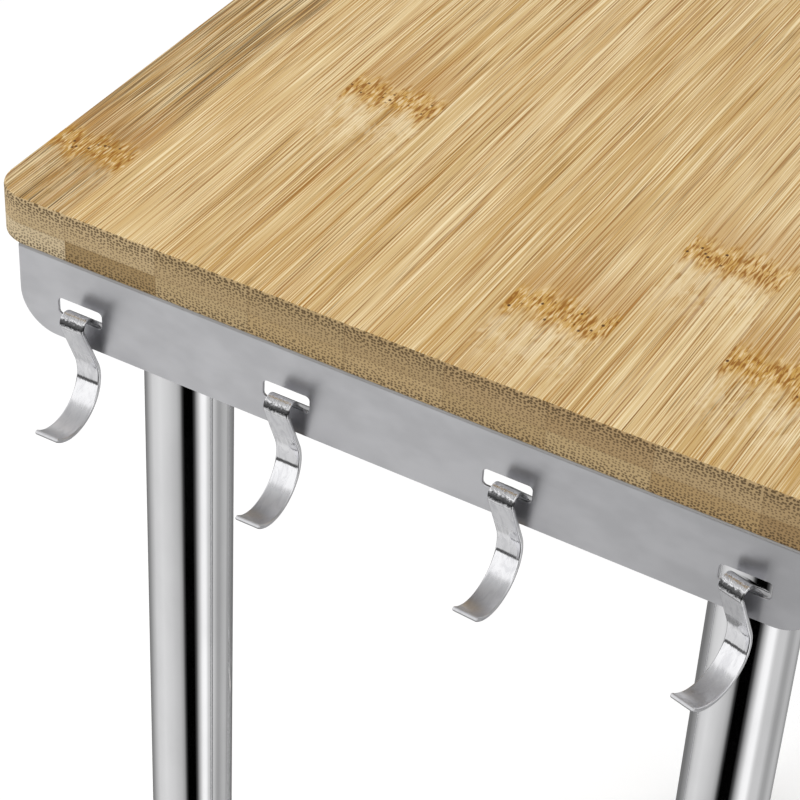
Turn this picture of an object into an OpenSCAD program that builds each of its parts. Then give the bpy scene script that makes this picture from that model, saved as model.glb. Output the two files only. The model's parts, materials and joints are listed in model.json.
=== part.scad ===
// Kitchen island cart: a bamboo worktop on four chromed tube legs, with a slotted steel
// apron and loose utensil hooks at each end, a low wire shelf and four swivel castors.
// Millimetres, +Z up. The origin is on the floor, under the middle of the worktop.
// X runs across the short ends, Y along the worktop's grain.

/* [Worktop] */
// Width across the short ends
top_w = 302; // [280:1:420]
// Length along the grain
top_l = 740; // [600:5:1100]
// Thickness of the two glued plies together
top_t = 18; // [16:1:30]
// Radius of the corners in plan
top_corner_r = 14; // [6:1:24]
// Height of the worktop's surface above the floor
total_h = 915; // [780:5:1000]

/* [End aprons] */
// Thickness of the apron sheet
sheet_t = 1; // [0.8:0.1:1.6]
// Height of the apron below the worktop
apron_drop = 31.5; // [26:0.5:50]
// Distance from the worktop's side to the apron's end
apron_inset = 10.5; // [6:0.5:14]
// Setback of the apron's face from the worktop's end
apron_setback = 0.5; // [0:0.1:3]
// Radius of the apron's lower corners
apron_corner_r = 14; // [6:1:18]
// Depth of the flange that is screwed under the worktop
flange_depth = 82; // [80:1:110]

/* [Hook slots] */
// Number of slots in each apron
slot_count = 4; // [2:1:4]
// Distance from the apron's end to the middle of its first slot
slot_end = 23.5; // [20:0.5:40]
// Width of a slot
slot_w = 16.8; // [16:0.2:24]
// Height of a slot
slot_h = 6.4; // [6:0.1:8]
// Radius of a slot's corners
slot_corner_r = 1.5; // [0.5:0.1:2]
// Height of a slot's lower edge above the apron's lower edge
slot_up = 9.4; // [8:0.1:12]

/* [Hooks] */
// Width of the hook strip
hook_w = 9; // [6:0.5:10]
// Thickness of the hook strip
hook_t = 1.6; // [1:0.1:1.8]
// Outer radius of the hook's round bow
bow_r = 15.2; // [12:0.1:22]
// Distance from the apron's face out to the middle of the bow
bow_out = 14.7; // [14:0.1:18]
// Depth of the middle of the bow below the slot's lower edge
bow_down = 18.8; // [17:0.1:30]
// Lean of the hook's arm from the vertical
arm_lean = 22.5; // [15:0.5:24]
// Angle from the arm round the bow to its tip
bow_sweep = 155; // [120:1:180]
// Outer radius of the roll at the top of the hook
roll_r = 3.3; // [3.1:0.1:3.6]
// Slope of the tail where it passes over the slot's lower edge
tail_slope = 43; // [38:1:48]
// Gap between the back of the apron and the hook's lip
lip_gap = 3.2; // [2.6:0.1:4]
// Depth of the lip's end below the slot's lower edge
lip_down = 6.5; // [5:0.1:8]

/* [Legs] */
// Outside diameter of a leg tube
leg_d = 31; // [25:1:34]
// Wall of a leg tube
leg_wall = 1.2; // [1:0.1:2]
// Distance from the worktop's side to a leg's axis
leg_inset_x = 44; // [42:1:60]
// Distance from the worktop's end to a leg's axis
leg_inset_y = 48; // [38:1:50]
// Diameter of the flange at the top of a leg
cup_d = 60; // [56:1:64]
// Thickness of that flange
cup_t = 2.5; // [2:0.5:4]
// Height of its spigot inside the tube
spigot_h = 8; // [6:1:15]

/* [Side rails] */
// Distance from the worktop's side to a rail's face
rail_inset = 20; // [12:1:26]
// Height of a rail's face
rail_h = 24; // [18:1:30]
// Thickness of the rail sheet
rail_t = 1.2; // [1:0.1:2]
// Width of the rail's flange under the worktop
rail_flange = 22; // [18:1:30]
// Radius of a rail's lower corners
rail_corner_r = 8; // [4:1:12]
// Gap between a rail's end and the apron's flange
rail_gap = 0.5; // [0.3:0.1:4]

/* [Screws] */
// Diameter of a wood screw's shank
screw_d = 4; // [3:0.5:4.5]
// Length of its shank
screw_l = 15; // [12:1:17]
// Diameter of its head
screw_head_d = 8; // [7:0.5:9]
// Height of its head
screw_head_h = 2.4; // [2:0.1:3]
// Diameter of the screw circle on a leg's flange
screw_pcd = 46; // [45:1:48]

/* [Low shelf] */
// Height of the collars' lower edge above the floor
collar_z = 60; // [58:1:300]
// Height of a collar
collar_h = 22; // [16:1:30]
// Wall of a collar
collar_wall = 2.5; // [2:0.5:4]
// Diameter of the shelf's outer rods
rim_d = 8; // [6:1:10]
// Distance from a leg's axis in to the shelf's end rod
shelf_end_inset = 30; // [25:1:60]
// Diameter of the cross rods
cross_d = 6; // [4:1:8]
// Diameter of the wires
wire_d = 4; // [3:0.5:5]
// Number of wires across the shelf
wire_count = 9; // [6:1:9]
// Distance between wires
wire_pitch = 17; // [12:1:17]

/* [Castors] */
// Diameter of a wheel
wheel_d = 40; // [36:1:42]
// Width of a tyre
tyre_w = 16; // [12:1:18]
// Thickness of a tyre
tyre_t = 4; // [3:0.5:6]
// Distance from the swivel's axis to the wheel's axis
trail = 14; // [12:0.5:16]
// Diameter of the threaded stem
stem_d = 10; // [8:1:12]
// Length of the stem above its hexagon
stem_l = 22; // [18:1:30]
// Diameter of the axle
axle_d = 6; // [5:0.5:7]
// Thickness of the fork's sheet
fork_t = 2; // [1.5:0.1:2.5]

/* [Hidden] */
$fn = 96;

// Clearances between pieces
run = 0.05;   // turning fits and sleeves, on the radius
slip = 0.1;   // screws in their holes and plugs in their tubes, on the radius
seat = 0.3;   // faces that move past each other
eps = 0.01;   // overlap of cutters

// Worktop and the levels under it
under = total_h - top_t;
cup_top = under - sheet_t;
leg_top = cup_top - cup_t;
leg_x = top_w / 2 - leg_inset_x;
leg_y = top_l / 2 - leg_inset_y;
apron_y = top_l / 2 - apron_setback;
apron_low = under - apron_drop;
apron_w = top_w - 2 * apron_inset;
slot_low = apron_low + slot_up;

// Castor levels, from the floor up
wheel_r = wheel_d / 2;
crown_low = wheel_d + 3;
crown_t = 2.7;
race_low = crown_low + crown_t + seat;
race_t = 3;
hex_t = 3;
plug_low = race_low + race_t + hex_t;
plug_flange = 3;
leg_low = plug_low + plug_flange;
king_d = 8;
king_head_d = 14;
king_head_t = 2;
race_d = 30;
hex_af = 17;
crown_d = 34;
hub_w = tyre_w + 1;
cheek_in = hub_w / 2 + 0.5;
cheek_out = cheek_in + fork_t;
axle_head_d = 10;
axle_head_t = 2.5;
boss_r = 6.5;

// Brake lever, in the castor's own plane: u away from the swivel, z up
pin_u = trail + 19.4;
pin_z = wheel_r + 17;
pin_d = 3;
ear_r = 4;
brake_hub_r = 3;
brake_w = 12;
pedal_w = 24;
pedal_l = 19;
pedal_neck = 7;
pedal_t = 2.5;
pedal_tilt = 12;
shoe_r = 1.3;
shoe_arm = 0.9;
shoe_w = 11;
shoe_z = -5.5;

// Corners of the cart: fl, fr, rl and rr
function side(c) = c % 2 == 0 ? -1 : 1;
function end_of(c) = c < 2 ? -1 : 1;

// Hooks: where each hangs in its slot, and how far it has turned there
hook_shift = [3, 1.8, 3, 1.5];
hook_turn = [0, 0, 4, 15];

function slot_x(i) = (2 * i / (slot_count - 1) - 1) * (apron_w / 2 - slot_end);

// ---------- shapes that repeat ----------

module round_rect(w, l, r) {
    union() {
        square([w - 2 * r, l], center = true);
        square([w, l - 2 * r], center = true);
        for (sx = [-1, 1], sy = [-1, 1])
            translate([sx * (w / 2 - r), sy * (l / 2 - r)]) circle(r);
    }
}

// A plate with square upper corners and round lower ones, hanging from y = 0
module hung_plate(w, drop, r) {
    union() {
        translate([-w / 2, r - drop]) square([w, drop - r]);
        translate([r - w / 2, -drop]) square([w - 2 * r, drop]);
        for (s = [-1, 1]) translate([s * (w / 2 - r), r - drop]) circle(r);
    }
}

// Stands an outline up, so that its x lies along Y and its y along Z, w wide along X
module upright(w) {
    rotate([90, 0, 90]) translate([0, 0, -w / 2]) linear_extrude(w) children();
}

// Points along an arc round c, from angle a to angle b
function arc(c, r, a, b) = let (steps = ceil(abs(b - a) / (r > 8 ? 5 : 10)))
    [for (k = [0 : steps]) let (t = a + (b - a) * k / steps) c + r * [cos(t), sin(t)]];

module at_corner(c) {
    translate([side(c) * leg_x, end_of(c) * leg_y, 0]) children();
}

// Turns a castor so that it trails outwards, past its own end of the cart
module castor_at(c) {
    at_corner(c) rotate([0, 0, end_of(c) < 0 ? 180 : 0]) children();
}

// Places of the wood screws: three round each leg, three along each rail
cup_screws = [for (c = [0 : 3], a = [90, 210, 330])
    [side(c) * leg_x + screw_pcd / 2 * cos(a) * side(c),
     end_of(c) * leg_y + screw_pcd / 2 * sin(a) * end_of(c)]];
rail_l = top_l - 2 * (apron_setback + flange_depth + rail_gap);
rail_screw_x = top_w / 2 - rail_inset - rail_flange * 0.6;
rail_screws = [for (s = [-1, 1], k = [-1 : 1]) [s * rail_screw_x, k * (rail_l / 2 - 25)]];

module holes_at(places, r, z, h) {
    for (p = places) translate([p[0], p[1], z]) cylinder(r = r, h = h);
}

// ---------- worktop and the steel under it ----------

module worktop() {
    color("burlywood") difference() {
        translate([0, 0, under]) linear_extrude(top_t) round_rect(top_w, top_l, top_corner_r);
        holes_at(cup_screws, screw_d / 2 + slip, under - eps, screw_l - cup_t - sheet_t + 1);
        holes_at(rail_screws, screw_d / 2 + slip, under - eps, screw_l - rail_t + 1);
    }
}

// An apron with its slots and its flange, at the front end
module end_apron() {
    color("silver") difference() {
        union() {
            translate([0, sheet_t - apron_y, under]) rotate([90, 0, 0]) linear_extrude(sheet_t)
                difference() {
                    hung_plate(apron_w, apron_drop, apron_corner_r);
                    for (i = [0 : slot_count - 1])
                        translate([slot_x(i), slot_up - apron_drop + slot_h / 2])
                            round_rect(slot_w, slot_h, slot_corner_r);
                }
            translate([-apron_w / 2, -apron_y, cup_top]) cube([apron_w, flange_depth, sheet_t]);
        }
        holes_at(cup_screws, screw_d / 2 + slip, cup_top - eps, sheet_t + 2 * eps);
    }
}

// A rail on one side, s = -1 left or 1 right
module side_rail(s) {
    face_x = top_w / 2 - rail_inset;
    color("silver") difference() {
        union() {
            translate([s * (face_x - rail_t / 2), 0, under]) upright(rail_t)
                hung_plate(rail_l, rail_h, rail_corner_r);
            translate([s * (face_x - rail_flange / 2), 0, under - rail_t / 2])
                cube([rail_flange, rail_l, rail_t], center = true);
        }
        holes_at(rail_screws, screw_d / 2 + slip, under - rail_t - eps, rail_t + 2 * eps);
    }
}

// The flange that carries the worktop on a leg, with a spigot inside the tube
module leg_cup(c) {
    color("gainsboro") difference() {
        at_corner(c) union() {
            translate([0, 0, leg_top]) cylinder(d = cup_d, h = cup_t);
            translate([0, 0, leg_top - spigot_h])
                cylinder(r = leg_d / 2 - leg_wall - slip, h = spigot_h + eps);
        }
        holes_at(cup_screws, screw_d / 2 + slip, leg_top - eps, cup_t + 2 * eps);
    }
}

module wood_screw() {
    cylinder(d = screw_d, h = screw_l);
    difference() {
        translate([0, 0, -screw_head_h]) cylinder(d1 = screw_head_d * 0.7, d2 = screw_head_d, h = screw_head_h);
        for (a = [0, 90]) rotate([0, 0, a])
            translate([0, 0, -screw_head_h]) cube([screw_head_d * 0.5, 1, 2], center = true);
    }
}

module wood_screws() {
    color("lightgray") {
        for (p = cup_screws) translate([p[0], p[1], leg_top]) wood_screw();
        for (p = rail_screws) translate([p[0], p[1], under - rail_t]) wood_screw();
    }
}

// ---------- legs ----------

module leg(c) {
    color("whitesmoke") at_corner(c) translate([0, 0, leg_low]) difference() {
        cylinder(d = leg_d, h = leg_top - leg_low);
        translate([0, 0, -eps]) cylinder(d = leg_d - 2 * leg_wall, h = leg_top - leg_low + 2 * eps);
    }
}

// The nylon plug in a leg's foot, bored for the castor's stem
module leg_plug(c) {
    color("dimgray") at_corner(c) translate([0, 0, plug_low]) difference() {
        union() {
            cylinder(d = leg_d, h = plug_flange);
            cylinder(r = leg_d / 2 - leg_wall - slip, h = stem_l + 1);
        }
        translate([0, 0, -eps]) cylinder(r = stem_d / 2 + run, h = stem_l + 1 + 2 * eps);
    }
}

// ---------- low shelf ----------

collar_r = leg_d / 2 + run + collar_wall;
rim_weld = 1; // depth to which the side rods are let into the collars
rim_x = leg_x - collar_r - rim_d / 2 + rim_weld;
rim_y = leg_y - shelf_end_inset;
rim_z = collar_z + collar_h / 2;
wire_z = rim_z + rim_d / 2 + wire_d / 2;
cross_z = rim_z + (rim_d - cross_d) / 2;
cross_y = [for (k = [-1 : 1]) k * rim_y * 0.5];
grub_d = 5;
grub_l = 6;

// Direction of a collar's screw, along the cart and towards its middle
function grub_a(c) = -90 * end_of(c);

module shelf_collar(c) {
    color("whitesmoke") at_corner(c) translate([0, 0, collar_z]) difference() {
        cylinder(r = collar_r, h = collar_h);
        translate([0, 0, -eps]) cylinder(r = leg_d / 2 + run, h = collar_h + 2 * eps);
        rotate([0, 0, grub_a(c)]) translate([0, 0, collar_h / 2]) rotate([0, 90, 0])
            cylinder(r = grub_d / 2 + run, h = collar_r + 1);
    }
}

module collar_screws() {
    color("dimgray") for (c = [0 : 3]) at_corner(c)
        rotate([0, 0, grub_a(c)]) translate([leg_d / 2 + run, 0, rim_z]) rotate([0, 90, 0])
            difference() {
                cylinder(d = grub_d, h = grub_l);
                translate([0, 0, grub_l - 2]) cylinder(d = 2.9, h = 3, $fn = 6);
            }
}

module collar_cut() {
    for (c = [0 : 3]) at_corner(c) translate([0, 0, collar_z]) cylinder(r = collar_r, h = collar_h);
}

module rod_along_y(x, z, d, l) {
    translate([x, 0, z]) rotate([90, 0, 0]) cylinder(d = d, h = l, center = true);
}

module rod_along_x(y, z, d, l) {
    translate([0, y, z]) rotate([0, 90, 0]) cylinder(d = d, h = l, center = true);
}

module side_rods() {
    for (s = [-1, 1]) rod_along_y(s * rim_x, rim_z, rim_d, 2 * leg_y);
}

module shelf_side_rod(s) {
    color("whitesmoke") difference() {
        rod_along_y(s * rim_x, rim_z, rim_d, 2 * leg_y);
        collar_cut();
    }
}

module shelf_end_rod(s) {
    color("whitesmoke") difference() {
        rod_along_x(s * rim_y, rim_z, rim_d, 2 * rim_x);
        side_rods();
    }
}

module shelf_cross_rods() {
    color("whitesmoke") difference() {
        for (y = cross_y) rod_along_x(y, cross_z, cross_d, 2 * rim_x);
        side_rods();
    }
}

module shelf_wires() {
    color("whitesmoke") for (k = [0 : wire_count - 1])
        rod_along_y((k - (wire_count - 1) / 2) * wire_pitch, wire_z, wire_d, 2 * rim_y + rim_d);
}

// ---------- castors ----------

module castor_stem(c) {
    color("lightgray") castor_at(c) union() {
        translate([0, 0, plug_low - eps]) cylinder(d = stem_d, h = stem_l + eps);
        translate([0, 0, plug_low - hex_t])
            cylinder(d = hex_af / cos(30), h = hex_t, $fn = 6);
        translate([0, 0, race_low]) cylinder(d = race_d, h = race_t);
        translate([0, 0, crown_low - seat - eps]) cylinder(d = king_d, h = crown_t + 2 * seat + 2 * eps);
        translate([0, 0, crown_low - seat - king_head_t]) cylinder(d = king_head_d, h = king_head_t);
    }
}

// Outline of a fork's cheek, u away from the swivel and z up
module cheek(with_ear) {
    difference() {
        union() {
            polygon(concat(
                [[-11, crown_low + crown_t], [-11, crown_low - 3], [trail - boss_r, wheel_r],
                 [trail + boss_r, wheel_r]],
                with_ear ? [[pin_u + ear_r, pin_z], [pin_u, pin_z + ear_r]] : [[trail + 8, crown_low - 3]],
                [[trail + 8, crown_low + crown_t]]));
            translate([trail, wheel_r]) circle(boss_r);
            if (with_ear) translate([pin_u, pin_z]) circle(ear_r);
        }
        translate([trail, wheel_r]) circle(axle_d / 2 + run);
        if (with_ear) translate([pin_u, pin_z]) circle(pin_d / 2 + run);
    }
}

module castor_fork(c) {
    braked = end_of(c) < 0;
    color("lightgray") castor_at(c) difference() {
        union() {
            for (s = [-1, 1]) translate([s * (cheek_in + fork_t / 2), 0, 0]) upright(fork_t) cheek(braked);
            translate([0, 0, crown_low]) cylinder(d = crown_d, h = crown_t);
            translate([-cheek_out, 0, crown_low]) cube([2 * cheek_out, trail + 8, crown_t]);
        }
        translate([0, 0, crown_low - eps]) cylinder(r = king_d / 2 + run, h = crown_t + 2 * eps);
    }
}

module castor_axle(c) {
    color("gray") castor_at(c) translate([0, trail, wheel_r]) rotate([0, 90, 0]) {
        cylinder(d = axle_d, h = 2 * (cheek_out + axle_head_t), center = true);
        for (s = [-1, 1]) translate([0, 0, s * (cheek_out + axle_head_t / 2)])
            cylinder(d = axle_head_d, h = axle_head_t, center = true);
    }
}

module castor_hub(c) {
    rim_r = wheel_r - tyre_t;
    color("darkgray") castor_at(c) translate([0, trail, wheel_r]) rotate([0, 90, 0]) difference() {
        union() {
            cylinder(r = rim_r, h = tyre_w - 2, center = true);
            cylinder(r = axle_d / 2 + 3, h = hub_w, center = true);
        }
        for (s = [-1, 1]) translate([0, 0, s * (tyre_w / 2 + 1)]) difference() {
            cylinder(r = rim_r - 2.5, h = 8, center = true);
            cylinder(r = axle_d / 2 + 3, h = 9, center = true);
        }
        cylinder(r = axle_d / 2 + run, h = hub_w + 1, center = true);
    }
}

module castor_tyre(c) {
    shoulder = 2;
    rim_r = wheel_r - tyre_t;
    color("dimgray") castor_at(c) translate([0, trail, wheel_r]) rotate([0, 90, 0])
        rotate_extrude() polygon([
            [rim_r, -tyre_w / 2], [wheel_r - shoulder, -tyre_w / 2],
            [wheel_r - 0.6, 1.2 - tyre_w / 2], [wheel_r, 3.2 - tyre_w / 2],
            [wheel_r, tyre_w / 2 - 3.2], [wheel_r - 0.6, tyre_w / 2 - 1.2],
            [wheel_r - shoulder, tyre_w / 2], [rim_r, tyre_w / 2]]);
}

// The brake lever: its pin, the pedal outside the fork and the shoe over the tyre
module castor_brake(c) {
    color("tomato") castor_at(c) translate([0, pin_u, pin_z]) union() {
        rotate([0, 90, 0]) cylinder(d = pin_d, h = 2 * cheek_out + 1, center = true);
        rotate([0, 90, 0]) cylinder(r = brake_hub_r, h = brake_w + 1, center = true);
        rotate([pedal_tilt, 0, 0]) {
            translate([-brake_w / 2, 0, -pedal_t / 2]) cube([brake_w, pedal_neck + 2, pedal_t]);
            translate([-pedal_w / 2, pedal_neck, -pedal_t / 2 - 0.3])
                cube([pedal_w, pedal_l - pedal_neck, pedal_t + 0.6]);
        }
        translate([-shoe_w / 2, -shoe_arm, shoe_z]) cube([shoe_w, 2 * shoe_arm, -shoe_z]);
        translate([0, 0, shoe_z]) rotate([0, 90, 0]) cylinder(r = shoe_r, h = shoe_w, center = true);
    }
}

// ---------- hooks ----------

// All in an outline plane: y away from the apron's face, negative outside, z from the slot's edge
bow_c = [-bow_out, -bow_down];
bow_in = bow_r - hook_t;
arm_dir = [-sin(arm_lean), cos(arm_lean)];
arm_side = [cos(arm_lean), sin(arm_lean)];
arm_low = bow_c + bow_in * arm_side;
tail_n = [sin(tail_slope), cos(tail_slope)];
// Distance of the tail's outer face from the origin, along its normal
tail_far = tail_n * [sheet_t, 0] + slip + hook_t;
arm_len = (tail_far - roll_r - tail_n * (arm_low + roll_r * arm_side)) / (tail_n * arm_dir);
roll_c = arm_low + arm_len * arm_dir + roll_r * arm_side;
lip_in = 1.5;
lip_y = sheet_t + lip_gap;
lip_c = [lip_y - lip_in, (tail_far - hook_t - lip_in - tail_n[0] * (lip_y - lip_in)) / tail_n[1]];

// One face of the strip, from the hook's tip to its lip: its radius in the bow, and its depth
// below the outer face of the roll
function hook_face(bow, depth) = concat(
    arc(bow_c, bow, arm_lean - bow_sweep, arm_lean),
    arc(roll_c, roll_r - depth, 180 + arm_lean, 90 - tail_slope),
    arc(lip_c, lip_in + hook_t - depth, 90 - tail_slope, 0),
    [[lip_y + hook_t - depth, -lip_down]]);

module hook_outline() {
    front = hook_face(bow_in, 0);
    back = hook_face(bow_r, hook_t);
    polygon(concat(front, [for (k = [len(back) - 1 : -1 : 0]) back[k]]));
}

// A turned hook rides up on the slot's edge by what its corner would cut into it
function hook_lift(i) = hook_w / 2 * tan(hook_turn[i]) * tan(tail_slope);

module hook(i) {
    translate([slot_x(i) + hook_shift[i], sheet_t - apron_y, slot_low + hook_lift(i)])
        rotate([0, 0, -hook_turn[i]]) translate([0, -sheet_t, 0]) upright(hook_w) hook_outline();
}

module hook_front(i) {
    color("gainsboro") if (i < slot_count) hook(i);
}

module hook_rear(i) {
    color("gainsboro") if (i < slot_count) rotate([0, 0, 180]) hook(i);
}

worktop();
end_apron();  // end_apron_front
rotate([0, 0, 180]) end_apron();  // end_apron_rear
side_rail(-1);  // side_rail_left
side_rail(1);  // side_rail_right
wood_screws();
collar_screws();
shelf_side_rod(-1);  // shelf_rod_left
shelf_side_rod(1);  // shelf_rod_right
shelf_end_rod(-1);  // shelf_rod_front
shelf_end_rod(1);  // shelf_rod_rear
shelf_cross_rods();
shelf_wires();
corners = ["fl", "fr", "rl", "rr"];
for (c = [0 : 3]) {
    leg_cup(c);
    leg(c);
    leg_plug(c);
    shelf_collar(c);
    castor_stem(c);
    castor_fork(c);
    castor_axle(c);
    castor_hub(c);
    castor_tyre(c);
}
for (c = [0 : 1])
    castor_brake(c);
for (i = [0 : 3]) {
    hook_front(i);
    hook_rear(i);
}
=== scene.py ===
"""Looks of a narrow kitchen island cart: a bamboo worktop, satin steel end aprons with polished
hooks, chromed tube legs, a low wire shelf and four swivel castors."""
import bpy
import bmesh
import json
import math
from mathutils import Matrix, Vector

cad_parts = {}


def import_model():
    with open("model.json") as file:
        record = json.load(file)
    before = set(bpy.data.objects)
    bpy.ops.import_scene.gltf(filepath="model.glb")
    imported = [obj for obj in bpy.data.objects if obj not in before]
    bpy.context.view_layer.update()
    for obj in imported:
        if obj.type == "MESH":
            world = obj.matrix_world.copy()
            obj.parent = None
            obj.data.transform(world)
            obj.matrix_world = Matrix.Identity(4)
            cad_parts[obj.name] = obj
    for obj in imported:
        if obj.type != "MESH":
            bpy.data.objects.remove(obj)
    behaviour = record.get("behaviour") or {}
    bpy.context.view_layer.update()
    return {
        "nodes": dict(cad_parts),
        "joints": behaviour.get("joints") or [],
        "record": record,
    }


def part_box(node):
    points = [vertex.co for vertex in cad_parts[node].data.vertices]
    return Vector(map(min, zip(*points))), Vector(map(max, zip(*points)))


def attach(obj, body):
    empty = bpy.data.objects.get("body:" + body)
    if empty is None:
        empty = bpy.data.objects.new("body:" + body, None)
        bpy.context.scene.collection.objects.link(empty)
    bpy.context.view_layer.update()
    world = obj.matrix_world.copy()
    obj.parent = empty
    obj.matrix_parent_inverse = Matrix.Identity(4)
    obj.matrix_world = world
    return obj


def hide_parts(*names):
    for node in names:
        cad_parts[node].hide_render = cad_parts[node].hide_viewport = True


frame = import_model()
nodes = frame["nodes"]
MM = 0.001

# ---------- sizes ----------

# the worktop, in metres: its own size comes from the CAD node that it replaces
top_low, top_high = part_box("worktop")
TOP_W = top_high[0] - top_low[0]
TOP_L = top_high[1] - top_low[1]
TOP_T = top_high[2] - top_low[2]
CORNER_R = 12.5 * MM
ARRIS_R = 0.9 * MM          # radius of the upper and lower edges
PLY_SPLIT = 0.45            # share of the thickness that the lower ply takes
STRIP_COUNT = 9             # bamboo strips across the worktop
STRIP_W = 34.27 * MM
LEFT_STRIP_W = 29.5 * MM    # the strip along the left side is cut narrower
NODE_PITCH = 330 * MM       # distance between bamboo nodes along a strip

# the folded sheets, in metres
APRON_T, RAIL_T = 1.0 * MM, 1.2 * MM
APRON_CORNER_R, RAIL_CORNER_R = 14 * MM, 8 * MM
FOLD_INNER_R = 0.1 * MM
SHEET_EDGE = 0.2            # radius of a sheet's cut edges, as a share of its thickness
SLOT_COUNT = 4
SLOT_END = 23.5 * MM        # from the apron's end to the middle of its first slot
SLOT_W, SLOT_H, SLOT_R = 16.8 * MM, 6.4 * MM, 1.5 * MM
SLOT_UP = 9.4 * MM          # from the apron's lower edge to a slot's lower edge
SCREW_HOLE_R = 2.1 * MM
SCREW_CIRCLE_R = 23 * MM    # the apron's screw holes lie on a circle round each leg
SCREW_ANGLES = (90, 210, 330)
RAIL_SCREW_END = 25 * MM    # from the rail's end to the middle of its first screw hole
RAIL_SCREW_IN = 0.6         # how far across the rail's flange its holes lie, as a share

# the hooks' strip, in millimetres and degrees
HOOK_W, HOOK_T = 9.0, 1.6
BOW_R, BOW_OUT, BOW_DOWN, BOW_SWEEP = 15.2, 14.7, 18.8, 155
ARM_LEAN, TAIL_SLOPE = 22.5, 43
ROLL_R, LIP_IN, LIP_GAP, LIP_DOWN = 3.3, 1.5, 3.2, 6.5
HOOK_CLEAR = 0.1            # between the tail's underside and the slot's inner lower edge
HOOK_EDGE = 0.6             # radius of the strip's long edges
LEAST_EDGE = 0.02           # and of its corners where the rounded ends close
BOW_WORN = 20.0             # how far along the strip from its tip the worn part reaches
ARM_FROM = 41.0             # where the arm's satin starts, likewise
ROLL_FROM, ROLL_TO = 57.0, 64.0     # and where the visible part of the roll starts and ends


# ---------- colours ----------

def srgb(r, g, b):
    """A colour given as 0 to 255 display values, in linear light."""
    def channel(c):
        c /= 255
        return c / 12.92 if c <= 0.04045 else ((c + 0.055) / 1.055) ** 2.4
    return (channel(r), channel(g), channel(b), 1)


def grey(v):
    return (v, v, v, 1)


def dimmed(colour, share):
    return tuple(c * share for c in colour[:3]) + (1,)


# ---------- materials ----------

class NodeTree:
    """Short calls for the nodes of one tree. Each takes numbers, colours or other nodes' outputs."""

    def __init__(self, tree):
        self.tree = tree

    def node(self, kind, **settings):
        made = self.tree.nodes.new(kind)
        for key, value in settings.items():
            setattr(made, key, value)
        return made

    def feed(self, socket, value):
        if isinstance(value, bpy.types.NodeSocket):
            self.tree.links.new(value, socket)
        elif value is not None:
            socket.default_value = value

    def fed(self, made, values):
        """Feeds a node's inputs in their order, and gives its first output."""
        for socket, value in zip(made.inputs, values):
            self.feed(socket, value)
        return made.outputs[0]

    def math(self, operation, a, b=None, c=None, clamp=False):
        return self.fed(self.node("ShaderNodeMath", operation=operation, use_clamp=clamp), (a, b, c))

    def plus(self, a, b):
        return self.math("ADD", a, b)

    def minus(self, a, b):
        return self.math("SUBTRACT", a, b)

    def times(self, a, b):
        return self.math("MULTIPLY", a, b)

    def over(self, a, b, clamp=False):
        return self.math("DIVIDE", a, b, clamp=clamp)

    def absolute(self, a):
        return self.math("ABSOLUTE", a)

    def smooth(self, value, low, high):
        """0 at low, 1 at high and eased between them. high may be the smaller one."""
        made = self.node("ShaderNodeMapRange", interpolation_type="SMOOTHSTEP")
        return self.fed(made, (value, low, high, 0.0, 1.0))

    def vector(self, x, y, z):
        return self.fed(self.node("ShaderNodeCombineXYZ"), (x, y, z))

    def scaled(self, place, scales, operation="MULTIPLY"):
        return self.vector(*(self.math(operation, part, k) for part, k in zip(place, scales)))

    def split(self, vector):
        made = self.node("ShaderNodeSeparateXYZ")
        self.feed(made.inputs[0], vector)
        return made.outputs

    def noise(self, vector, detail=2.0, roughness=0.5, distortion=0.0):
        """Noise in a vector that is already at its scale, from 0 to 1 about 0.5."""
        made = self.node("ShaderNodeTexNoise")
        self.feed(made.inputs["Vector"], vector)
        made.inputs["Scale"].default_value = 1.0
        made.inputs["Detail"].default_value = detail
        made.inputs["Roughness"].default_value = roughness
        made.inputs["Distortion"].default_value = distortion
        return made.outputs["Fac"]

    def sway(self, noise, reach):
        """A noise turned into a shift to both sides, over reach in all."""
        return self.times(self.minus(noise, 0.5), reach)

    def cells(self, vector, randomness=1.0, dimensions="3D"):
        """Distance to the nearest of many scattered points, one to a unit cell."""
        made = self.node("ShaderNodeTexVoronoi", voronoi_dimensions=dimensions)
        self.feed(made.inputs["Vector"], vector)
        made.inputs["Scale"].default_value = 1.0
        made.inputs["Randomness"].default_value = randomness
        return made.outputs["Distance"]

    def ramp(self, value, stops, interpolation="LINEAR"):
        made = self.node("ShaderNodeValToRGB")
        made.color_ramp.interpolation = interpolation
        elements = made.color_ramp.elements
        while len(elements) < len(stops):
            elements.new(0.5)
        for element, (place, colour) in zip(elements, stops):
            element.position = place
            element.color = colour
        self.feed(made.inputs[0], value)
        return made.outputs[0]

    def grey_ramp(self, value, stops):
        return self.ramp(value, [(place, grey(v)) for place, v in stops])

    def mix(self, share, a, b, blend="MIX"):
        """Two colours mixed. The node's colour sockets come behind those for numbers and vectors."""
        made = self.node("ShaderNodeMix", data_type="RGBA", blend_type=blend)
        for k, value in ((0, share), (6, a), (7, b)):
            self.feed(made.inputs[k], value)
        return made.outputs[2]

    def paint(self, base, where, strength, colour):
        """base with a colour laid over it: where is its mask, strength is how much covers at most."""
        return self.mix(self.times(where, strength), base, colour)

    def split_by_ray(self, plain, for_metal, surface):
        """Feeds a surface with one shader for glossy rays and a plain one for all the rest."""
        both = self.node("ShaderNodeMixShader")
        glossy = self.node("ShaderNodeLightPath").outputs["Is Glossy Ray"]
        self.feed(surface, self.fed(both, (glossy, plain, for_metal)))


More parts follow.
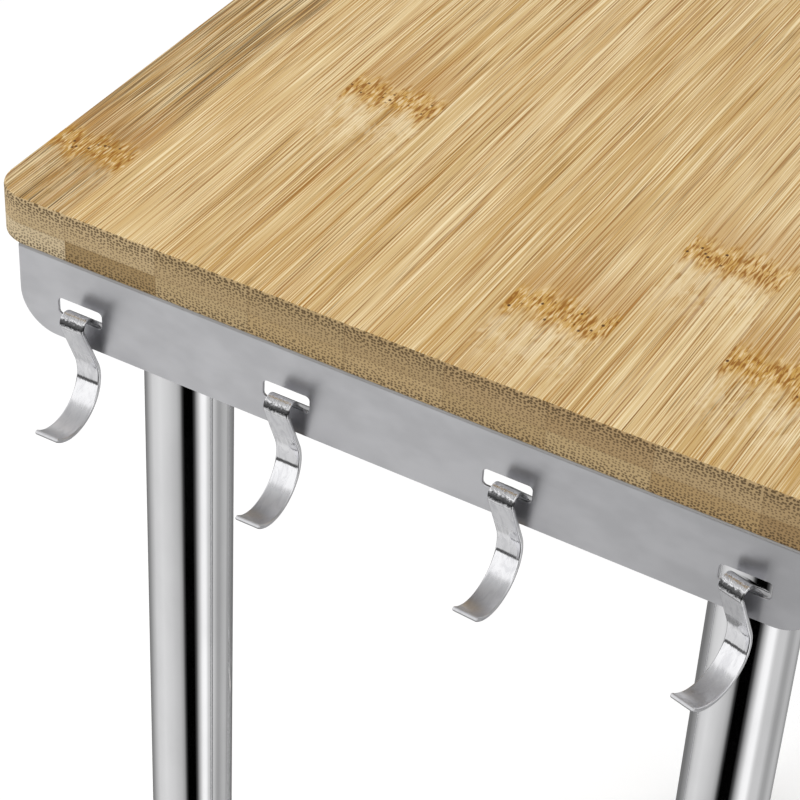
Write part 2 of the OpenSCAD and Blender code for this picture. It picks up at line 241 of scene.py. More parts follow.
class Shader(NodeTree):
    """A material with one Principled shader, and what its nodes need to know of the surface."""

    def __init__(self, name):
        self.material = bpy.data.materials.new(name)
        self.material.use_nodes = True
        super().__init__(self.material.node_tree)
        self.bsdf = self.tree.nodes["Principled BSDF"]
        self.output = self.tree.nodes["Material Output"]

    def place_mm(self):
        """x, y and z of the surface in millimetres, in the piece's own frame."""
        scaled = self.node("ShaderNodeVectorMath", operation="SCALE")
        self.feed(scaled.inputs[0], self.node("ShaderNodeTexCoord").outputs["Object"])
        scaled.inputs["Scale"].default_value = 1000
        return self.split(scaled.outputs[0])

    def facing_y(self):
        """How far the surface faces along y, either way: 1 on an end, 0 on a side or the top."""
        return self.absolute(self.split(self.node("ShaderNodeTexCoord").outputs["Normal"])[1])

    def bump(self, height, distance_mm, strength=1.0):
        made = self.node("ShaderNodeBump")
        made.inputs["Strength"].default_value = strength
        made.inputs["Distance"].default_value = distance_mm * MM
        self.feed(made.inputs["Height"], height)
        self.feed(self.bsdf.inputs["Normal"], made.outputs[0])

    def finish(self, colour, roughness, metallic=0.0, specular=0.5):
        self.feed(self.bsdf.inputs["Base Color"], colour)
        self.feed(self.bsdf.inputs["Roughness"], roughness)
        self.bsdf.inputs["Metallic"].default_value = metallic
        self.bsdf.inputs["Specular IOR Level"].default_value = specular
        return self.material


class Bamboo(Shader):
    """Two plies of flat bamboo strips: long streaks and node bands along the grain, vascular dots on
    the ends. All lengths are in millimetres."""

    # for each strip from the left: its first node as a share of the pitch, then its ends in both plies
    FIRST_NODES = (0.11, 0.82, 0.355, 0.9, 0.86, 0.125, 0.285, 0.149, 0.79)
    LOWER_ENDS = ((212, 193, 158), (147, 119, 74), (183, 158, 115), (180, 152, 106), (183, 155, 110),
        (172, 144, 99), (185, 159, 115), (166, 135, 88), (144, 113, 71))
    UPPER_ENDS = ((195, 171, 131), (193, 168, 127), (178, 152, 110), (172, 146, 104), (168, 141, 99),
        (170, 141, 99), (164, 134, 92), (176, 149, 108), (166, 138, 97))

    def __init__(self):
        super().__init__("bamboo")
        self.x, self.y, self.z = self.place_mm()
        self.find_strip()
        self.draw_streaks()
        self.draw_nodes()
        end_face = self.smooth(self.facing_y(), 0.30, 0.62)
        ends, dot = self.end_grain()
        colour = self.mix(end_face, self.long_grain(), ends)
        relief = self.plus(self.times(self.fine, 0.5), self.times(self.flames, self.band))
        relief = self.minus(relief, self.times(self.times(dot, end_face), 1.2))
        self.bump(relief, 0.05, 0.6)
        rough = self.plus(self.times(end_face, 0.18), self.plus(0.46, self.times(self.fine, 0.1)))
        self.finish(colour, rough, specular=0.25)

    def find_strip(self):
        """Which strip and which ply a point is in, with a tint and a seed for each piece of bamboo."""
        first_edge = LEFT_STRIP_W / MM - TOP_W / MM / 2
        self.glue_z = (top_low[2] + TOP_T * PLY_SPLIT) / MM
        across = self.over(self.minus(self.x, first_edge), STRIP_W / MM)
        self.strip = self.math("FLOOR", across)
        self.off_middle = self.absolute(self.minus(self.math("FRACT", across), 0.5))
        self.edge_strip = self.math("LESS_THAN", self.strip, 0.0)
        self.upper = self.math("GREATER_THAN", self.z, self.glue_z)
        piece = self.plus(self.strip, self.times(self.upper, 31.0))
        tint = self.node("ShaderNodeTexWhiteNoise", noise_dimensions="1D")
        self.feed(tint.inputs["W"], piece)
        self.tint = tint.outputs["Value"]
        self.seed = self.times(piece, 7.3)
        self.share = self.over(self.plus(self.strip, 1.5), float(STRIP_COUNT))

    def by_strip(self, colours):
        """One colour for each strip, from the left."""
        return self.ramp(self.share, [(k / STRIP_COUNT, c) for k, c in enumerate(colours)], "CONSTANT")

    def streaks(self, width, length, shift):
        """Noise drawn out along the grain, in streaks about so wide and so long."""
        return self.noise(self.vector(self.plus(self.over(self.wavy_x, width), shift),
            self.over(self.y, length), self.plus(self.seed, self.over(self.z, width))), 1.0, 0.55)

    def draw_streaks(self):
        """Streaks of several widths, and bundles of fibres as thin lines that come and go."""
        slow = self.vector(self.times(self.x, 0.02), self.times(self.y, 0.006), self.seed)
        self.wavy_x = self.plus(self.x, self.sway(self.noise(slow, 1.0), 2.6))
        self.broad = self.streaks(14, 500, 3.0)
        self.medium = self.streaks(2.2, 220, 11.0)
        self.fine = self.streaks(0.52, 90, 29.0)
        self.hair = self.streaks(0.36, 40, 57.0)
        bundle = self.plus(self.over(self.wavy_x, 0.98), self.times(self.streaks(4.5, 160, 71.0), 3.4))
        bundle = self.math("SINE", self.times(bundle, 2 * math.pi))
        self.lined = self.times(self.smooth(bundle, 0.35, 0.95),
            self.smooth(self.streaks(2.0, 70, 91.0), 0.36, 0.58))

    def draw_nodes(self):
        """The node bands, one across each strip at its own place and then again at every pitch: a
        ragged band of dark flames and specks, paler wood before it and darker wood behind."""
        first = self.by_strip([grey(v) for v in self.FIRST_NODES])
        lower_shift = self.times(self.minus(1.0, self.upper), 0.43)
        turns = self.over(self.plus(self.y, TOP_L / MM / 2), NODE_PITCH / MM)
        phase = self.plus(self.minus(turns, self.plus(first, lower_shift)), 0.5)
        off = self.times(self.minus(self.math("FRACT", phase), 0.5), NODE_PITCH / MM)
        wobble = self.noise(self.vector(self.times(self.x, 0.16), self.seed, 0.0), 2.0)
        off = self.plus(off, self.sway(wobble, 15.0))
        self.reach = self.absolute(off)
        ragged = self.noise(self.in_piece(1.6, 14.0), 2.0, 0.6)
        self.band = self.smooth(self.plus(self.reach, self.sway(ragged, 16.0)), 11.0, 3.0)
        patch = self.noise(self.in_piece(3.2, 9.0), 2.0, 0.6, 0.6)
        before = self.times(self.smooth(off, -46.0, -18.0), self.smooth(off, -2.0, -10.0))
        self.glow = self.times(before, self.smooth(patch, 0.38, 0.62))
        self.behind = self.times(self.smooth(off, 4.0, 10.0), self.smooth(off, 40.0, 12.0))
        self.flames = self.noise(self.in_piece(0.72, 5.0), 1.0, 0.5, 0.4)
        self.specks = self.cells(self.vector(self.over(self.x, 3.3), self.over(self.y, 4.2), self.seed))

    def in_piece(self, width, length):
        return self.vector(self.over(self.wavy_x, width), self.over(self.y, length), self.seed)

    def long_grain(self):
        """Colour of the faces along the grain, painted from the broad tones to the specks."""
        s = self
        colour = s.mix(s.smooth(s.broad, 0.3, 0.7), srgb(217, 192, 144), srgb(198, 167, 112))
        colour = s.paint(colour, s.tint, 0.45, srgb(192, 158, 98))
        colour = s.paint(colour, s.edge_strip, 0.60, srgb(160, 127, 76))
        colour = s.paint(colour, s.smooth(s.medium, 0.50, 0.70), 0.45, srgb(176, 131, 52))
        colour = s.paint(colour, s.smooth(s.fine, 0.46, 0.34), 0.70, srgb(238, 220, 178))
        colour = s.paint(colour, s.lined, 0.78, srgb(158, 103, 14))
        colour = s.paint(colour, s.smooth(s.fine, 0.58, 0.68), 0.78, srgb(138, 87, 12))
        colour = s.paint(colour, s.smooth(s.hair, 0.44, 0.30), 0.50, srgb(236, 218, 180))
        colour = s.paint(colour, s.smooth(s.hair, 0.62, 0.72), 0.65, srgb(106, 72, 18))
        edge_lines = s.times(s.edge_strip, s.smooth(s.hair, 0.53, 0.62))
        colour = s.paint(colour, edge_lines, 0.65, srgb(84, 70, 46))
        pale = s.minus(0.32, s.times(s.edge_strip, 0.20))
        colour = s.paint(colour, s.glow, pale, srgb(236, 220, 184))
        colour = s.paint(colour, s.behind, 0.30, srgb(166, 116, 52))
        colour = s.paint(colour, s.band, 0.58, srgb(188, 140, 46))
        colour = s.paint(colour, s.band, s.times(s.smooth(s.flames, 0.50, 0.64), 0.90),
            srgb(138, 84, 0))
        colour = s.paint(colour, s.band, s.times(s.smooth(s.flames, 0.44, 0.34), 0.55),
            srgb(234, 214, 174))
        colour = s.paint(colour, s.smooth(s.reach, 6.0, 3.0), s.smooth(s.specks, 0.20, 0.10),
            srgb(84, 50, 8))
        return s.paint(colour, s.smooth(s.off_middle, 0.492, 0.499), 0.20, srgb(150, 108, 56))

    def end_grain(self):
        """Colour of the ends, and their dots, which crowd towards each ply's outer skin."""
        s = self
        dots = s.cells(s.vector(s.plus(s.over(s.x, 1.18), s.seed), s.over(s.z, 0.95), None), 0.6, "2D")
        from_glue = s.minus(s.z, s.glue_z)
        skin = s.smooth(s.absolute(s.over(from_glue, TOP_T / MM * 0.5)), 0.15, 1.0)
        blotch = s.noise(s.vector(s.times(s.x, 0.09), s.times(s.z, 0.2), s.seed), 2.0)
        pale = s.mix(blotch, srgb(172, 150, 114), srgb(150, 127, 88))
        lower, upper = (s.by_strip([srgb(*c) for c in tones]) for tones in (s.LOWER_ENDS, s.UPPER_ENDS))
        colour = s.mix(0.35, s.mix(s.upper, lower, upper), pale)
        dark = s.mix(s.upper, srgb(56, 40, 18), srgb(68, 50, 25))
        radius = s.plus(0.265, s.times(skin, 0.11))
        dot = s.smooth(dots, s.plus(radius, 0.12), s.minus(radius, 0.08))
        colour = s.paint(colour, dot, s.plus(0.54, s.times(skin, 0.28)), dark)
        joint = s.math("MAXIMUM", s.smooth(s.absolute(from_glue), 0.28, 0.08),
            s.smooth(s.off_middle, 0.488, 0.497))
        return s.paint(colour, joint, 0.25, srgb(110, 84, 50)), dot


def brushed_sheet(name, colour, rough=0.36):
    """Satin stainless sheet: soft cloudy patches, a faint brushing along its length and fine scuffs,
    and painted shade along its folded top edge under the board."""
    s = Shader(name)
    place = s.place_mm()
    under_board = top_low[2] / MM
    cloud = s.noise(s.scaled(place, (0.035, 0.035, 0.06)), 3.0, 0.6)
    brush = s.noise(s.scaled(place, (0.05, 0.05, 6.0)), 3.0, 0.6)
    scuffs = s.noise(s.scaled(place, (2.0, 2.0, 2.0)), 2.0, 0.6)
    shade = s.mix(s.smooth(cloud, 0.35, 0.65), dimmed(colour, 0.88), colour)
    shade = s.paint(shade, scuffs, 0.10, grey(0.9))
    # painted shade along the top edge, where the sheet folds under the board
    shade_under_board = s.smooth(place[2], under_board - 1.6, under_board - 0.5)
    shade = s.paint(shade, shade_under_board, 0.75, srgb(120, 116, 110))
    rougher = s.plus(s.times(brush, 0.10), s.times(cloud, 0.06))
    s.bump(s.plus(s.times(brush, 0.4), scuffs), 0.004, 0.5)
    return s.finish(shade, s.plus(rough - 0.08, rougher), metallic=1.0)


def bright_metal(name, colour, rough=0.05, haze=0.04):
    """Chromed or polished metal: a clear mirror with a slight ripple and patches of haze."""
    s = Shader(name)
    place = s.place_mm()
    patch = s.noise(s.scaled(place, (0.05, 0.05, 0.02)), 3.0, 0.6)
    s.bump(s.noise(s.scaled(place, (0.12, 0.12, 0.03)), 2.0), 0.02, 0.6)
    shade = s.mix(s.smooth(patch, 0.35, 0.7), colour, dimmed(colour, 0.94))
    return s.finish(shade, s.plus(rough, s.times(s.smooth(patch, 0.4, 0.75), haze)), metallic=1.0)


# painted reflections on the roll from the arm to its top: dark and bright bands, made ragged by the
# pits that bending left
ROLL_REFLECTION_GREYS = ((0.0, 1.0), (0.10, 0.85), (0.17, 0.06), (0.28, 0.12), (0.35, 1.0), (0.48, 1.0),
    (0.54, 0.52), (0.66, 0.38), (0.76, 0.18), (0.86, 0.42), (1.0, 0.9))


def hook_steel():
    """Polished strip: bright along its face, satin on its arm, roughened on the roll by bending and
    painted there with dark and bright bands of reflection, rubbed dull low in the bow where utensils
    hang, and with painted shade on its back."""
    s = Shader("hook_steel")
    x = s.place_mm()[0]
    strip = s.node("ShaderNodeAttribute", attribute_name="strip")
    across, along, depth = s.split(strip.outputs["Vector"])
    roll = s.times(s.smooth(along, ROLL_FROM - 1.0, ROLL_FROM + 0.6),
        s.smooth(along, ROLL_TO + 0.6, ROLL_TO - 0.6))
    arm = s.times(s.smooth(along, ARM_FROM, ARM_FROM + 3.0),
        s.smooth(along, ROLL_FROM, ROLL_FROM - 2.0))
    worn = s.smooth(along, BOW_WORN + 5, BOW_WORN - 5)
    back = s.smooth(depth, -0.25, -0.6)
    pits = s.noise(s.vector(s.times(across, 0.9), s.times(along, 1.7), x), 2.0, 0.7)
    smear = s.noise(s.scaled((across, along, x), (0.45, 0.16, 0.05)), 3.0, 0.6, 0.8)
    wave = s.noise(s.vector(s.times(across, 0.22), s.times(along, 0.16), x), 1.0)
    s.bump(s.plus(s.times(wave, 0.22), s.times(s.times(pits, roll), 0.55)), 0.25, 1.0)
    # painted reflections: the roll's dark and bright bands, their edges ragged with the pits
    bent = s.minus(s.plus(along, s.sway(pits, 2.2)), ROLL_FROM - 1.0)
    roll_reflections = s.grey_ramp(s.over(bent, ROLL_TO - ROLL_FROM + 3.0, clamp=True), ROLL_REFLECTION_GREYS)
    shade = s.mix(s.smooth(smear, 0.4, 0.7), srgb(248, 248, 250), srgb(230, 230, 233))
    shade = s.mix(1.0, shade, roll_reflections, "MULTIPLY")
    shade = s.paint(shade, worn, 0.5, srgb(205, 205, 208))
    # painted shade on the strip's back, in the gap between hook and apron
    shade = s.mix(back, shade, srgb(165, 165, 167))
    rough = s.plus(s.plus(0.07, s.times(arm, 0.24)), s.times(worn, 0.33))
    rough = s.plus(rough, s.times(s.smooth(smear, 0.35, 0.7), 0.06))
    return s.finish(shade, rough, metallic=1.0)


def moulded(name, colour, rough=0.5, grain_mm=0.5):
    """Moulded plastic or rubber, with a fine spark-eroded grain and slight fading."""
    s = Shader(name)
    place = s.place_mm()
    fine = s.noise(s.scaled(place, (grain_mm, grain_mm, grain_mm), "DIVIDE"), 3.0, 0.6)
    patch = s.noise(s.scaled(place, (9.0, 9.0, 9.0), "DIVIDE"), 2.0)
    faded = tuple(min(1.0, c * 1.35 + 0.01) for c in colour[:3]) + (1,)
    s.bump(fine, 0.03, 0.5)
    return s.finish(s.mix(s.smooth(patch, 0.35, 0.75), colour, faded),
        s.plus(rough - 0.05, s.times(fine, 0.12)), specular=0.4)


MATERIALS = {
    "bamboo": Bamboo().material,
    "apron_steel": brushed_sheet("apron_steel", srgb(226, 226, 229)),
    "rail_steel": brushed_sheet("rail_steel", srgb(205, 205, 208)),
    "leg_chrome": bright_metal("leg_chrome", (0.93, 0.93, 0.94, 1)),
    "flange_steel": bright_metal("flange_steel", (0.80, 0.81, 0.82, 1), 0.16),
    "screw_zinc": bright_metal("screw_zinc", (0.76, 0.76, 0.74, 1), 0.2),
    "plug_nylon": moulded("plug_nylon", (0.03, 0.03, 0.032, 1)),
    "shelf_chrome": bright_metal("shelf_chrome", (0.92, 0.92, 0.93, 1), 0.07),
    "hook_steel": hook_steel(),
    "castor_zinc": bright_metal("castor_zinc", (0.78, 0.79, 0.80, 1), 0.18, 0.1),
    "axle_zinc": bright_metal("axle_zinc", (0.72, 0.72, 0.71, 1), 0.22),
    "hub_grey": moulded("hub_grey", srgb(96, 98, 100), 0.45),
    "tyre_rubber": moulded("tyre_rubber", (0.022, 0.022, 0.024, 1), 0.62, 0.35),
    "brake_plastic": moulded("brake_plastic", (0.025, 0.025, 0.027, 1), 0.42),
}

for entry in frame["record"]["subparts"]:
    obj = nodes[entry["node"]]
    obj.data.materials.clear()
    obj.data.materials.append(MATERIALS[entry["material_slot"]])


# ---------- edges of the carried-over parts ----------

def ease_edges(name, width_mm):
    """Rounds a CAD node's sharp edges a little, so that they catch the light."""
    obj = nodes[name]
    weld = obj.modifiers.new("weld", "WELD")
    weld.merge_threshold = 0.002 * MM
    bevel = obj.modifiers.new("edges", "BEVEL")
    bevel.width = width_mm * MM
    bevel.segments = 2
    bevel.limit_method = "ANGLE"
    bevel.angle_limit = math.radians(35)
    bevel.harden_normals = True


# width in millimetres of the eased edges, by how the nodes' names start
EDGES = {"castor_fork": 0.3, "castor_brake": 0.6, "castor_hub": 0.4, "castor_stem": 0.25,
    "castor_axle": 0.35, "leg_cup": 0.3, "leg_plug": 0.4, "shelf_collar": 0.6}
for name in nodes:
    for start, width in EDGES.items():
        if name.startswith(start):
            ease_edges(name, width)


# ---------- outlines and meshes ----------

def arc_points(cx, cy, radius, start, end, steps):
    angles = [math.radians(start + (end - start) * k / steps) for k in range(steps + 1)]
    return [(cx + radius * math.cos(a), cy + radius * math.sin(a)) for a in angles]


def circle(cx, cy, radius, count):
    return arc_points(cx, cy, radius, 0, 360 * (count - 1) / count, count - 1)


def round_box(width, height, radius, steps, middle=(0, 0)):
    """Outline of a box with round corners, each in so many steps."""
    half_w, half_h = width / 2 - radius, height / 2 - radius
    points = []
    for sx, sy, start in ((1, 1, 0), (-1, 1, 90), (-1, -1, 180), (1, -1, 270)):
        points += arc_points(middle[0] + sx * half_w, middle[1] + sy * half_h, radius,
            start, start + 90, steps)
    return points


def quarter_round(radius, steps=4):
    """The rings of a rounded edge from its face on: how far in, and how far from the face, each is."""
    angles = [math.radians(90 * k / steps) for k in range(steps + 1)]
    return [(radius * (1 - math.sin(a)), radius * (1 - math.cos(a))) for a in angles]


def loft(bm, rings):
    """A closed skin over rings of points with a cap on each end, and the rings' vertices."""
    made = [[bm.verts.new(point) for point in ring] for ring in rings]
    count = len(made[0])
    for low, high in zip(made, made[1:]):
        for k in range(count):
            bm.faces.new((low[k], low[(k + 1) % count], high[(k + 1) % count], high[k]))
    bm.faces.new(list(reversed(made[0])))
    bm.faces.new(made[-1])
    bmesh.ops.recalc_face_normals(bm, faces=bm.faces)
    for face in bm.faces:
        face.smooth = True
    return made


def mesh_object(name, bm):
    mesh = bpy.data.meshes.new(name)
    bm.to_mesh(mesh)
    bm.free()
    obj = bpy.data.objects.new(name, mesh)
    bpy.context.scene.collection.objects.link(obj)
    return obj


# ---------- worktop ----------

def worktop():
    """The board with its rounded corners and lightly eased upper and lower edges."""
    levels = [(top_low[2] + up, inset) for inset, up in quarter_round(ARRIS_R)]
    levels += [(top_high[2] - down, inset) for inset, down in reversed(quarter_round(ARRIS_R))]
    rings = []
    for z, inset in levels:
        outline = round_box(TOP_W - 2 * inset, TOP_L - 2 * inset, CORNER_R - inset, 16)
        rings.append([(x, y, z) for x, y in outline])
    bm = bmesh.new()
    loft(bm, rings)
    obj = mesh_object("bamboo_worktop", bm)
    obj.data.materials.append(MATERIALS["bamboo"])
    flat = obj.modifiers.new("flat faces", "WEIGHTED_NORMAL")
    flat.keep_sharp = True
    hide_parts("worktop")
    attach(obj, "frame")


worktop()


# ---------- folded sheet: the end aprons and the side rails ----------

def flat_plate(outlines, thickness, edge):
    """A flat plate with holes and eased edges, as bmesh, from the outlines of the plate and its holes:
    its outer face at z = 0, its inner face behind."""
    curve = bpy.data.curves.new("plate", "CURVE")
    curve.dimensions = "2D"
    curve.fill_mode = "BOTH"
    curve.extrude = thickness / 2 - edge
    curve.bevel_depth = edge
    curve.bevel_resolution = 2
    curve.offset = -edge
    for outline in outlines:
        spline = curve.splines.new("POLY")
        spline.points.add(len(outline) - 1)
        for point, (u, v) in zip(spline.points, outline):
            point.co = (u, v, 0, 1)
        spline.use_cyclic_u = True
    obj = bpy.data.objects.new("plate", curve)
    mesh = bpy.data.meshes.new_from_object(obj)
    bm = bmesh.new()
    bm.from_mesh(mesh)
    bpy.data.objects.remove(obj)
    bpy.data.curves.remove(curve)
    bpy.data.meshes.remove(mesh)
    bmesh.ops.remove_doubles(bm, verts=bm.verts, dist=0.001 * MM)
    bmesh.ops.translate(bm, verts=bm.verts, vec=(0, 0, thickness / 2))
    return bm


def folded_sheet(name, size, thickness, corner_r, slots, holes, turn, place, material):
    """One sheet folded along its top: a face that hangs from z = 0 with round lower corners, looking
    along -y, and a flange behind it. size is the face's width and drop and the flange's depth, slots
    are middles on the face, holes are middles on the flange, and turn is in degrees about z."""
    width, drop, depth = size
    fold_r = thickness + FOLD_INNER_R
    run = fold_r * math.pi / 2          # length of the fold in the flat sheet
    top = depth - 2 * fold_r + run
    outline = [(width / 2, top), (-width / 2, top)]
    outline += arc_points(-width / 2 + corner_r, -drop + corner_r, corner_r, 180, 270, 14)
    outline += arc_points(width / 2 - corner_r, -drop + corner_r, corner_r, 270, 360, 14)
    cuts = [round_box(SLOT_W, SLOT_H, SLOT_R, 6, middle) for middle in slots]
    cuts += [circle(u, d - 2 * fold_r + run, SCREW_HOLE_R, 24) for u, d in holes]
    bm = flat_plate([outline] + cuts, thickness, SHEET_EDGE * thickness)
    fold_steps = 8
    for k in range(fold_steps + 1):
        bmesh.ops.bisect_plane(bm, geom=bm.verts[:] + bm.edges[:] + bm.faces[:], dist=0.0001 * MM,
            plane_co=(0, -fold_r + run * k / fold_steps, 0), plane_no=(0, 1, 0))
    for vert in bm.verts:
        u, v, w = vert.co
        turned = min(max((v + fold_r) / run, 0), 1) * math.pi / 2
        before, after = min(v + fold_r, 0), max(v + fold_r - run, 0)
        radius = fold_r - w
        vert.co = (u, fold_r - radius * math.cos(turned) + after,
            -fold_r + radius * math.sin(turned) + before)
    bmesh.ops.recalc_face_normals(bm, faces=bm.faces)
    for face in bm.faces:
        face.smooth = max(abs(part) for part in face.normal) < 0.9999     # only flat faces stay flat
    bm.transform(Matrix.Translation(place) @ Matrix.Rotation(math.radians(turn), 4, "Z"))
    obj = mesh_object(name, bm)
    obj.data.materials.append(MATERIALS[material])
    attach(obj, "frame")
    return obj


def middle(node):
    low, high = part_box(node)
    return [(a + b) / 2 for a, b in zip(low, high)]


def end_apron(end, turn):
    low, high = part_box("end_apron_" + end)
    width, drop, depth = high[0] - low[0], high[2] - low[2], high[1] - low[1]
    slots = [((2 * k / (SLOT_COUNT - 1) - 1) * (width / 2 - SLOT_END), SLOT_UP + SLOT_H / 2 - drop)
        for k in range(SLOT_COUNT)]
    leg_x, leg_y, _ = middle("leg_fr")
    holes = [(side * (leg_x + SCREW_CIRCLE_R * math.cos(math.radians(a))),
        leg_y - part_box("end_apron_front")[0][1] - SCREW_CIRCLE_R * math.sin(math.radians(a)))
        for side in (-1, 1) for a in SCREW_ANGLES]
    face_y = low[1] if turn == 0 else high[1]
    sheet = folded_sheet(end + "_apron", (width, drop, depth), APRON_T, APRON_CORNER_R, slots, holes,
        turn, (0, face_y, high[2]), "apron_steel")
    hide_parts("end_apron_" + end)


def side_rail(name, turn):
    low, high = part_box("side_rail_" + name)
    length, drop, depth = high[1] - low[1], high[2] - low[2], high[0] - low[0]
    face_x = low[0] if turn < 0 else high[0]
    holes = [(k * (length / 2 - RAIL_SCREW_END), depth * RAIL_SCREW_IN) for k in (-1, 0, 1)]
    rail = folded_sheet(name + "_rail", (length, drop, depth), RAIL_T, RAIL_CORNER_R, [], holes,
        turn, (face_x, 0, high[2]), "rail_steel")
    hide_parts("side_rail_" + name)


end_apron("front", 0)
end_apron("rear", 180)
side_rail("left", -90)
side_rail("right", 90)


# ---------- hooks ----------

def hook_path():
    """Middle line of the hook's strip in millimetres, from its tip to its lip: y inwards, z up, both
    from the slot's lower edge at the apron's face."""
    sheet, half = APRON_T / MM, HOOK_T / 2
    lean, slope = math.radians(ARM_LEAN), math.radians(TAIL_SLOPE)
    arm, across = Vector((-math.sin(lean), math.cos(lean))), Vector((math.cos(lean), math.sin(lean)))
    normal = Vector((math.sin(slope), math.cos(slope)))
    bow = Vector((-BOW_OUT, -BOW_DOWN))
    arm_low = bow + (BOW_R - HOOK_T) * across
    tail = normal.x * sheet + HOOK_CLEAR + HOOK_T
    arm_len = (tail - ROLL_R - normal.dot(arm_low + ROLL_R * across)) / normal.dot(arm)
    roll = arm_low + arm_len * arm + ROLL_R * across
    lip_y = sheet + LIP_GAP
    lip = Vector((lip_y - LIP_IN, (tail - HOOK_T - LIP_IN - normal.x * (lip_y - LIP_IN)) / normal.y))
    line = arc_points(*bow, BOW_R - half, ARM_LEAN - BOW_SWEEP, ARM_LEAN, 62)
    start = Vector(line[-1])
    line += [start + arm * (arm_len * k / 6) for k in range(1, 6)]
    line += arc_points(*roll, ROLL_R - half, 180 + ARM_LEAN, 90 - TAIL_SLOPE, 36)
    line += arc_points(*lip, LIP_IN + half, 90 - TAIL_SLOPE, 0, 12)
    line.append((lip_y + half, -LIP_DOWN))
    return [Vector(p) for p in line]


def strip_rings(path):
    """The strip's cross-sections from tip to lip, with round ends: for each its middle, the direction
    of the strip there, and how much smaller it is all round."""
    last = len(path) - 1
    along = [(path[min(k + 1, last)] - path[max(k - 1, 0)]).normalized() for k in range(last + 1)]

    def round_end(end, inner, direction):
        outward = (end - inner).normalized()
        return [(end - outward * back, direction, shrink) for shrink, back in quarter_round(HOOK_EDGE)]

    rings = round_end(path[0], path[1], along[0])
    rings += [(point, direction, 0.0) for point, direction in zip(path[1:-1], along[1:-1])]
    return rings + round_end(path[-1], path[-2], along[-1])[::-1]


def strip_section(shrink):
    """Outline of the strip across its width: a round-edged box that is smaller by shrink all round."""
    return round_box(HOOK_W - 2 * shrink, HOOK_T - 2 * shrink, max(HOOK_EDGE - shrink, LEAST_EDGE), 4)


def hook(node, joint):
    """A hook of round-edged strip that replaces the CAD hook. Its vertices keep where they lie across,
    along and through the strip, for the look of its steel."""
    rings = strip_rings(hook_path())
    outlines = []
    for point, direction, shrink in rings:
        normal = Vector((-direction.y, direction.x))
        outlines.append([(a * MM, (point.x + normal.x * b) * MM, (point.y + normal.y * b) * MM)
            for a, b in strip_section(shrink)])
    bm = bmesh.new()
    strip = bm.verts.layers.float_vector.new("strip")
    made = loft(bm, outlines)
    along = -HOOK_EDGE
    for k, (point, _, shrink) in enumerate(rings):
        if k:
            along += (point - rings[k - 1][0]).length
        for vert, (a, b) in zip(made[k], strip_section(shrink)):
            vert[strip] = (a, along, b)
    # the CAD hook's box gives its place, and its joint's axis gives how it hangs in the slot
    across = [v.co.y for v in bm.verts]
    down = min(v.co.z for v in bm.verts)
    bmesh.ops.translate(bm, verts=bm.verts, vec=(0, -(min(across) + max(across)) / 2, -down))
    low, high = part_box(node)
    axis = joint["axis"]
    turn = math.atan2(-axis[1], -axis[0])
    place = ((low[0] + high[0]) / 2, (low[1] + high[1]) / 2, low[2])
    bm.transform(Matrix.Translation(place) @ Matrix.Rotation(turn, 4, "Z"))
    obj = mesh_object(node + "_strip", bm)
    obj.modifiers.new("flat faces", "WEIGHTED_NORMAL")
    obj.data.materials.append(MATERIALS["hook_steel"])
    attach(obj, joint["child"])
    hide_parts(node)


for joint in frame["joints"]:
    if joint["name"].startswith("hook_swing_"):
        hook(joint["name"].replace("_swing_", "_"), joint)


# ---------- stage, light and camera ----------

# The studio that metal sees, in greys. The turns go from +x, as shares of a whole turn.
FRONT_Y_MM = -330.0         # the middle of the cart's front end, from where the floor's greys are drawn
FLOOR_GREYS = ((0.0, 0.60), (0.03, 0.60), (0.066, 0.38), (0.09, 0.36), (0.14, 0.50), (0.195, 0.40),
    (0.27, 0.18), (0.40, 0.18), (0.46, 0.29), (0.54, 0.66), (0.606, 0.74), (0.676, 0.64),
    (0.735, 0.50), (0.757, 0.36), (0.775, 0.05), (0.789, 0.0), (0.851, 0.0), (0.868, 0.07),
    (0.885, 0.36), (0.901, 0.62), (0.918, 0.92), (0.934, 1.0), (0.952, 1.0), (0.971, 0.70),
    (0.985, 0.60))
FLOOR_REACH_MM = 6000.0
FLOOR_EDGE = ((0.0, 0.0), (0.32, 0.0), (0.36, 1.0))     # where the dark edge starts, by the reach
FLOOR_EDGE_GREY = 0.08
WALL_FROM_MM, WALL_FULL_MM = 3000.0, 3600.0
WALL_GREYS = ((0.0, 0.88), (0.04, 0.42), (0.12, 0.38), (0.16, 0.92), (0.27, 0.92), (0.31, 0.32),
    (0.40, 0.36), (0.45, 0.90), (0.58, 1.0), (0.80, 1.0), (0.84, 0.30), (0.89, 0.34), (0.93, 0.95),
    (1.0, 0.88))            # white with three grey panels
CEILING_GREYS = ((0.0, 1.0), (0.64, 1.0), (0.74, 0.56), (0.90, 0.52), (0.94, 0.34))    # by height
WALL_TOP, CEILING_LOW = 0.30, 0.42      # heights between which the wall fades into the ceiling

FLOOR_SIZE = 30             # metres
FLOOR_GLOW = 0.25
SKY_LIGHT = 0.75

CAMERA_LENS = 117.207
CAMERA_FROM_CORNER = (440.4, -540.2, 466.9)     # millimetres from the board's upper front left corner
CAMERA_ANGLES = (51.4515, -2.5545, 30.1046)


def floor_for_metal(s):
    """What metal sees low round the cart, by the direction from the middle of its front end: greys that
    darken behind the cart, a dark gap where the photographer stands with a bright panel beside it, and
    further out a dark edge of the floor below a white wall."""
    x, y, _ = s.place_mm()
    dy = s.minus(y, FRONT_Y_MM)
    turn = s.math("FRACT", s.plus(s.over(s.math("ARCTAN2", dy, x), 2 * math.pi), 1.0))
    far = s.math("SQRT", s.plus(s.times(x, x), s.times(dy, dy)))
    edge = s.grey_ramp(s.over(far, FLOOR_REACH_MM, clamp=True), FLOOR_EDGE)
    rise = s.smooth(far, WALL_FROM_MM, WALL_FULL_MM)
    wall = s.mix(rise, grey(FLOOR_EDGE_GREY), s.grey_ramp(turn, WALL_GREYS))
    return s.mix(edge, s.grey_ramp(turn, FLOOR_GREYS), wall)


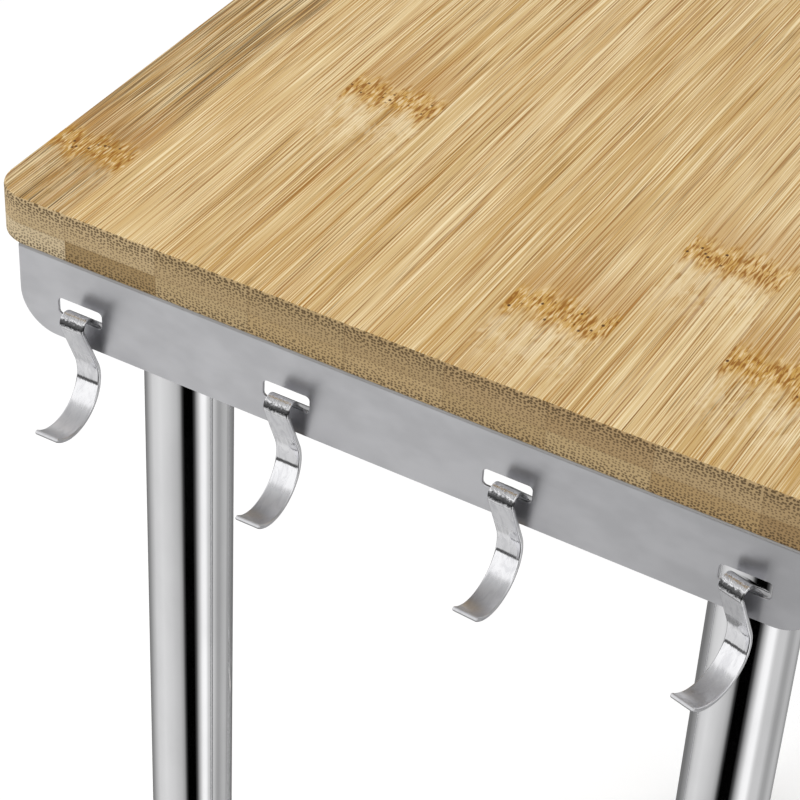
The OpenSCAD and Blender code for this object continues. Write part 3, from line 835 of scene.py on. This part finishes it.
def studio_floor():
    """A pale floor, plain to the camera, in which metal sees the studio."""
    bpy.ops.mesh.primitive_plane_add(size=FLOOR_SIZE, location=(0, 0, 0))
    floor = bpy.context.object
    floor.name = "floor"
    s = Shader("floor")
    s.finish(srgb(236, 236, 236), 0.9)
    glow = s.fed(s.node("ShaderNodeEmission"), (grey(1), FLOOR_GLOW))
    plain = s.fed(s.node("ShaderNodeAddShader"), (s.bsdf.outputs[0], glow))
    for_metal = s.fed(s.node("ShaderNodeEmission"), (floor_for_metal(s),))
    s.split_by_ray(plain, for_metal, s.output.inputs["Surface"])
    floor.data.materials.append(s.material)


def world():
    """An even pale studio, in which metal sees the wall all round and a grey ceiling over it."""
    made = bpy.data.worlds.new("studio")
    bpy.context.scene.world = made
    made.use_nodes = True
    s = NodeTree(made.node_tree)
    plain = s.fed(s.tree.nodes["Background"], (grey(1), SKY_LIGHT))
    x, y, z = s.split(s.node("ShaderNodeTexCoord").outputs["Generated"])
    turn = s.over(s.math("WRAP", s.math("ARCTAN2", y, x), 2 * math.pi, 0.0), 2 * math.pi)
    wall, ceiling = s.grey_ramp(turn, WALL_GREYS), s.grey_ramp(z, CEILING_GREYS)
    seen = s.mix(s.smooth(z, WALL_TOP, CEILING_LOW), wall, ceiling)
    for_metal = s.fed(s.node("ShaderNodeBackground"), (seen,))
    s.split_by_ray(plain, for_metal, s.tree.nodes["World Output"].inputs["Surface"])


def lamp(name, place, aim, size, power):
    """A soft box that lights the cart and isn't mirrored in its metal."""
    light = bpy.data.lights.new(name, "AREA")
    light.shape = "RECTANGLE"
    light.size, light.size_y = size
    light.energy = power
    obj = bpy.data.objects.new(name, light)
    obj.location = place
    obj.rotation_euler = (Vector(aim) - Vector(place)).to_track_quat("-Z", "Y").to_euler()
    obj.visible_glossy = False
    bpy.context.scene.collection.objects.link(obj)


def camera():
    """The photo's view: close over the front end, looking down along the worktop."""
    data = bpy.data.cameras.new("camera")
    data.lens = CAMERA_LENS
    data.sensor_width = 36
    data.clip_start = 0.01
    obj = bpy.data.objects.new("camera", data)
    front_left = Vector((top_low[0], top_low[1], top_high[2]))
    obj.location = front_left + Vector(CAMERA_FROM_CORNER) * MM
    obj.rotation_euler = [math.radians(a) for a in CAMERA_ANGLES]
    bpy.context.scene.collection.objects.link(obj)
    bpy.context.scene.camera = obj


studio_floor()
world()
lamp("key", place=(-1.2, -1.0, 2.6), aim=(0, 0, 0.9), size=(1.6, 1.6), power=28)
camera()

scene = bpy.context.scene
scene.view_settings.view_transform = "Standard"
